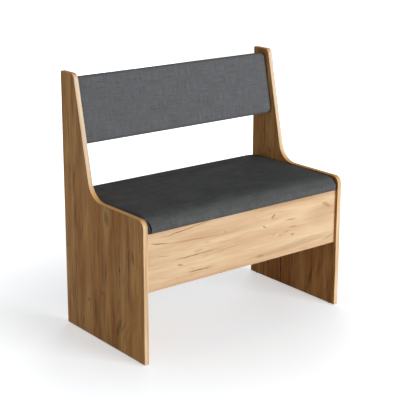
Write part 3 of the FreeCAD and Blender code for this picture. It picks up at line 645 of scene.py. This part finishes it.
def fold_pleats(bm, half, first_round, pleats):
    """Folds the cover in at the ends of the first edge, but never through the board behind it."""
    folded_share = 0.9
    board_front = 0.0007
    over_board = board_top + 0.004
    hem_line = 0.0008
    fade_low = 0.032
    fade_height = 0.010
    inward = {v: -v.normal for v in bm.verts}
    for end, inset, fold_half, depth in pleats:
        for vertex in bm.verts:
            across = abs(vertex.co.x * end - (half - inset)) / fold_half
            if across < folded_share and vertex.co.y < first_round and vertex.co.z > hem_line:
                fade = 1.0 - min(max((vertex.co.z - fade_low) / fade_height, 0.0), 1.0)
                room = max(board_front - vertex.co.y, 0.0)
                deepest = min(depth, room) if vertex.co.z < over_board else depth
                vertex.co += inward[vertex] * deepest * fade * (1.0 - across * across)


def turn_hem(bm, size):
    """Ends the cover at its hem under the board. Inside the hem the dust cloth shows."""
    length, width, thickness = size
    half = length / 2.0
    recess = 0.0007
    turn = 0.0008
    underside = 0.001
    for inset in (hem_depth, hem_depth + turn):
        for point, normal in ((Vector((half - inset, 0, 0)), Vector((1, 0, 0))),
                              (Vector((inset - half, 0, 0)), Vector((1, 0, 0))),
                              (Vector((0, inset, 0)), Vector((0, 1, 0))),
                              (Vector((0, width - inset, 0)), Vector((0, 1, 0)))):
            under = [f for f in bm.faces if f.normal.z < -0.9 and f.calc_center_median().z < underside]
            edges = list({e for f in under for e in f.edges})
            corners = list({v for f in under for v in f.verts})
            bmesh.ops.bisect_plane(bm, geom=under + edges + corners, dist=1e-5, plane_co=point,
                                   plane_no=normal)
    for vertex in bm.verts:
        inside = min(half - abs(vertex.co.x), vertex.co.y, width - vertex.co.y)
        if vertex.co.z < underside / 2.0 and inside > hem_depth + 0.75 * turn:
            vertex.co.z = recess


def lay_out_cloth(bm, size):
    """A UV map of the cloth laid flat, in millimetres, with a seam where the pleats close the ends.

    The underside lies half a metre aside, clear of the rest.
    """
    length, width, thickness = size
    half = length / 2.0
    under_shift = 0.5
    cover = bm.loops.layers.uv.new("cover")
    for face in bm.faces:
        on_an_end = abs(face.normal.x) > 0.75 and half - abs(face.calc_center_median().x) < 0.005
        for loop in face.loops:
            co = loop.vert.co
            drop = thickness - co.z
            if face.normal.z < -0.7:
                u, v = co.x, co.y + under_shift
            elif on_an_end:
                u, v = math.copysign(half + drop, co.x), co.y
            else:
                u, v = co.x, co.y + math.copysign(drop, co.y - width / 2.0)
            loop[cover].uv = (u * 1000.0, v * 1000.0)


def upholstered(name, size, edge_rounds, corner_rounds, crown, wadding, front_fall, pleats, place):
    """A cushion on a board, made in its flat frame: x along it, y from its first edge, z up from the hem.

    Size is its length, width and thickness. Rounds are given for the first and the last edge, and crown is
    how far the cover may swell towards x, y and z. Wadding pads the first edge, and the foam falls off
    towards it by front_fall. Each pleat is (end, distance from it, half width, depth), folded into the
    first edge. Place takes the flat frame to the cushion's own place.
    """
    bm = cover_blank(size, edge_rounds, pleats)
    trim_foam(bm, size, corner_rounds, wadding, front_fall)
    mesh = bpy.data.meshes.new(name)
    bm.to_mesh(mesh)
    cushion = bpy.data.objects.new(name, mesh)
    bpy.context.scene.collection.objects.link(cushion)
    swell_cover(cushion, bm, crown)
    fold_pleats(bm, size.x / 2.0, edge_rounds[0], pleats)
    turn_hem(bm, size)
    lay_out_cloth(bm, size)
    for face in bm.faces:
        face.smooth = True
    bmesh.ops.transform(bm, matrix=place, verts=bm.verts)
    bm.to_mesh(mesh)
    bm.free()
    finer = cushion.modifiers.new("Subdivision", "SUBSURF")
    finer.levels = finer.render_levels = 1
    return cushion


dress(raw_board("raw chipboard"), "lid_board", "backrest_board")
dress(open_foam("upholstery foam"), "seat_foam", "backrest_foam")
dress(spun_cloth("black dust cloth"), "lid_backing", "backrest_backing")
dress(plated_steel, "lid_staples", "backrest_staples")
seat_low, seat_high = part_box("seat_cover")
deep_pleat = (-1, 0.0088, 0.0026, 0.007)
faint_pleat = (1, 0.0090, 0.0020, 0.0014)
seat_cushion = upholstered(
    "seat_cushion", seat_high - seat_low, edge_rounds=(0.040, 0.014), corner_rounds=(0.006, 0.040),
    crown=Vector((0.0030, 0.0010, 0.0026)), wadding=0.005, front_fall=0.003,
    pleats=(deep_pleat, faint_pleat), place=Matrix.Translation(Vector((0, seat_low.y, seat_low.z))))

# The painted shade in the crease of the deep pleat, placed in the cover's own map
deep_crease_shade = (-391.2, -28.0, 2.9, 27.0)
seat_cushion.data.materials.append(woven_cover(
    "anthracite woven cover", "6d6e6e", "474848", slub_strength=0.4, cloud_share=0.6, roughness=0.7, seed=4.0,
    crease_shades=(deep_crease_shade,)))
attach(seat_cushion, "seat_lid")
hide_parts("seat_cover", "seat_foam")


# Backrest
# The same build as the seat, thinner at its edges and covered in a lighter grey weave. It leans back with
# the uprights and hangs between them on four steel angle brackets.

back_rake = math.radians(12.0)
back_width = 0.220
back_thickness = 0.045
back_low, back_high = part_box("backrest_cover")
back_up = Vector((0, math.sin(back_rake), math.cos(back_rake)))
back_out = Vector((0, -math.cos(back_rake), math.sin(back_rake)))
back_corner = Vector((0, back_high.y - back_width * back_up.y, back_low.z))
back_place = Matrix.Translation(back_corner) @ Matrix(((1, 0, 0), back_up, back_out)).transposed().to_4x4()
back_size = Vector((back_high.x - back_low.x, back_width, back_thickness))
back_cushion = upholstered(
    "backrest_cushion", back_size, edge_rounds=(0.014, 0.014), corner_rounds=(0.018, 0.018),
    crown=Vector((0.0012, 0.0020, 0.0024)), wadding=0.0, front_fall=0.0, pleats=(), place=back_place)
back_cushion.data.materials.append(woven_cover(
    "grey woven cover", "77787b", "525456", slub_strength=0.5, cloud_share=0.12, roughness=0.75, seed=9.0))
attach(back_cushion, "bench_frame")
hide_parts("backrest_cover", "backrest_foam")
dress(plated_steel, "backrest_brackets", "bracket_screws")


# Bumper pads and glides
# Soft pads on the rear panel's and front panel's tops quieten the lid, and nailed plastic glides keep the
# side panels' sawn ends off the floor.

dress(plain_plastic("black rubber pad", "26262a", 0.75, 0.8), "bumper_pads")
dress(plain_plastic("brown glide plastic", "8a6a49", 0.5, 0.8), "floor_glides")


# Floor
# A plain pale studio floor. What the camera, a gloss or a clear part sees of it is lifted to white, and
# the soft shadow of the bench stays on it. Near the bench the lift is weaker, which paints a soft shadow
# round it.

def background_rays(tree):
    """Gives 1 for the rays that show the background, which are camera, glossy and clear rays, or 0."""
    path = add_node(tree, "LightPath", {})
    seen = add_node(tree, "Math", {0: path.outputs["Is Camera Ray"], 1: path.outputs["Is Glossy Ray"]},
                    operation="MAXIMUM")
    return add_node(tree, "Math", {0: seen.outputs[0], 1: path.outputs["Is Transmission Ray"]},
                    operation="MAXIMUM").outputs[0]


def pale_floor(name):
    """Matt white paint. Camera, glossy and clear rays see it glow, more so away from the bench, so the weaker
    glow near it is a painted shadow.
    """
    material, tree, shader = start_material(name, 0.9)
    shader.inputs["Specular IOR Level"].default_value = 0.0
    seen = background_rays(tree)
    paint = add_node(tree, "Mix", {0: seen, 6: linear("b4b4b4"), 7: linear("e6ebf0")},
                     data_type="RGBA")
    tree.links.new(paint.outputs[2], shader.inputs["Base Color"])
    # Painted shadow: the glow is lowest at the bench and rises to full white 1.5 m away
    place = add_node(tree, "TexCoord", {})
    away = add_node(tree, "VectorMath", {0: place.outputs["Object"]}, operation="LENGTH")
    glow_and_painted_shadow = add_node(tree, "MapRange", {0: away.outputs["Value"], 1: 0.2, 2: 1.5, 3: 0.45, 4: 1.0},
                    interpolation_type="SMOOTHSTEP")
    glow_and_painted_shadow = add_node(tree, "Math", {0: seen, 1: glow_and_painted_shadow.outputs[0]}, operation="MULTIPLY")
    tree.links.new(glow_and_painted_shadow.outputs[0], shader.inputs["Emission Strength"])
    shader.inputs["Emission Color"].default_value = (1.0, 1.0, 1.0, 1.0)
    return material


floor_mesh = bpy.data.meshes.new("studio_floor")
bm = bmesh.new()
bmesh.ops.create_grid(bm, x_segments=1, y_segments=1, size=20.0)
bmesh.ops.translate(bm, vec=(0, 0, cad_box[0].z - 0.0002), verts=bm.verts)
bm.to_mesh(floor_mesh)
bm.free()
studio_floor = bpy.data.objects.new("studio_floor", floor_mesh)
studio_floor.data.materials.append(pale_floor("matt studio floor"))
bpy.context.scene.collection.objects.link(studio_floor)


# Studio light
# A large soft box in front, a little to the right and low, gives most of the light, with a weak one on the
# left and one behind on the right. The room is a dim even white, which camera, glossy and clear rays see
# as full white.

def soft_box(name, azimuth, elevation, distance, size, power):
    """A square lamp that faces the middle of the bench. Azimuth 0 is in front, and 90 on the right."""
    a, e = math.radians(azimuth), math.radians(elevation)
    away = Vector((math.sin(a) * math.cos(e), -math.cos(a) * math.cos(e), math.sin(e)))
    data = bpy.data.lights.new(name, "AREA")
    data.shape = "SQUARE"
    data.size = size
    data.energy = power
    lamp = bpy.data.objects.new(name, data)
    lamp.location = Vector((0, 0, 0.4)) + away * distance
    lamp.rotation_mode = "QUATERNION"
    lamp.rotation_quaternion = away.to_track_quat("Z", "Y")
    bpy.context.scene.collection.objects.link(lamp)


soft_box("front_soft_box", 18.0, 12.0, 5.0, 2.6, 214.0)
soft_box("left_soft_box", -80.0, 4.0, 5.0, 2.4, 24.0)
soft_box("rear_soft_box", 135.0, 12.0, 5.0, 2.4, 80.0)
world = bpy.data.worlds.new("white studio")
world.use_nodes = True
bpy.context.scene.world = world
sky = world.node_tree.nodes["Background"]
sky.inputs["Color"].default_value = (1.0, 1.0, 1.0, 1.0)
sky_level = add_node(world.node_tree, "MapRange", {0: background_rays(world.node_tree), 3: 0.20, 4: 1.0})
world.node_tree.links.new(sky_level.outputs[0], sky.inputs["Strength"])


# Camera
# A long lens from the left front, a little above the seat, as the bench is seen in the photograph.

camera_place = Vector((-2.273, -2.845, 1.499))
camera_yaw = math.radians(37.89)
camera_pitch = math.radians(15.40)
lens = bpy.data.cameras.new("camera")
lens.lens = 100.7
lens.sensor_width = 36.0
lens.shift_x = 0.02
lens.shift_y = -0.06
camera = bpy.data.objects.new("camera", lens)
camera.location = camera_place
camera.rotation_euler = (math.pi / 2.0 - camera_pitch, 0.0, -camera_yaw)
bpy.context.scene.collection.objects.link(camera)
bpy.context.scene.camera = camera
bpy.context.scene.view_settings.view_transform = "Standard"
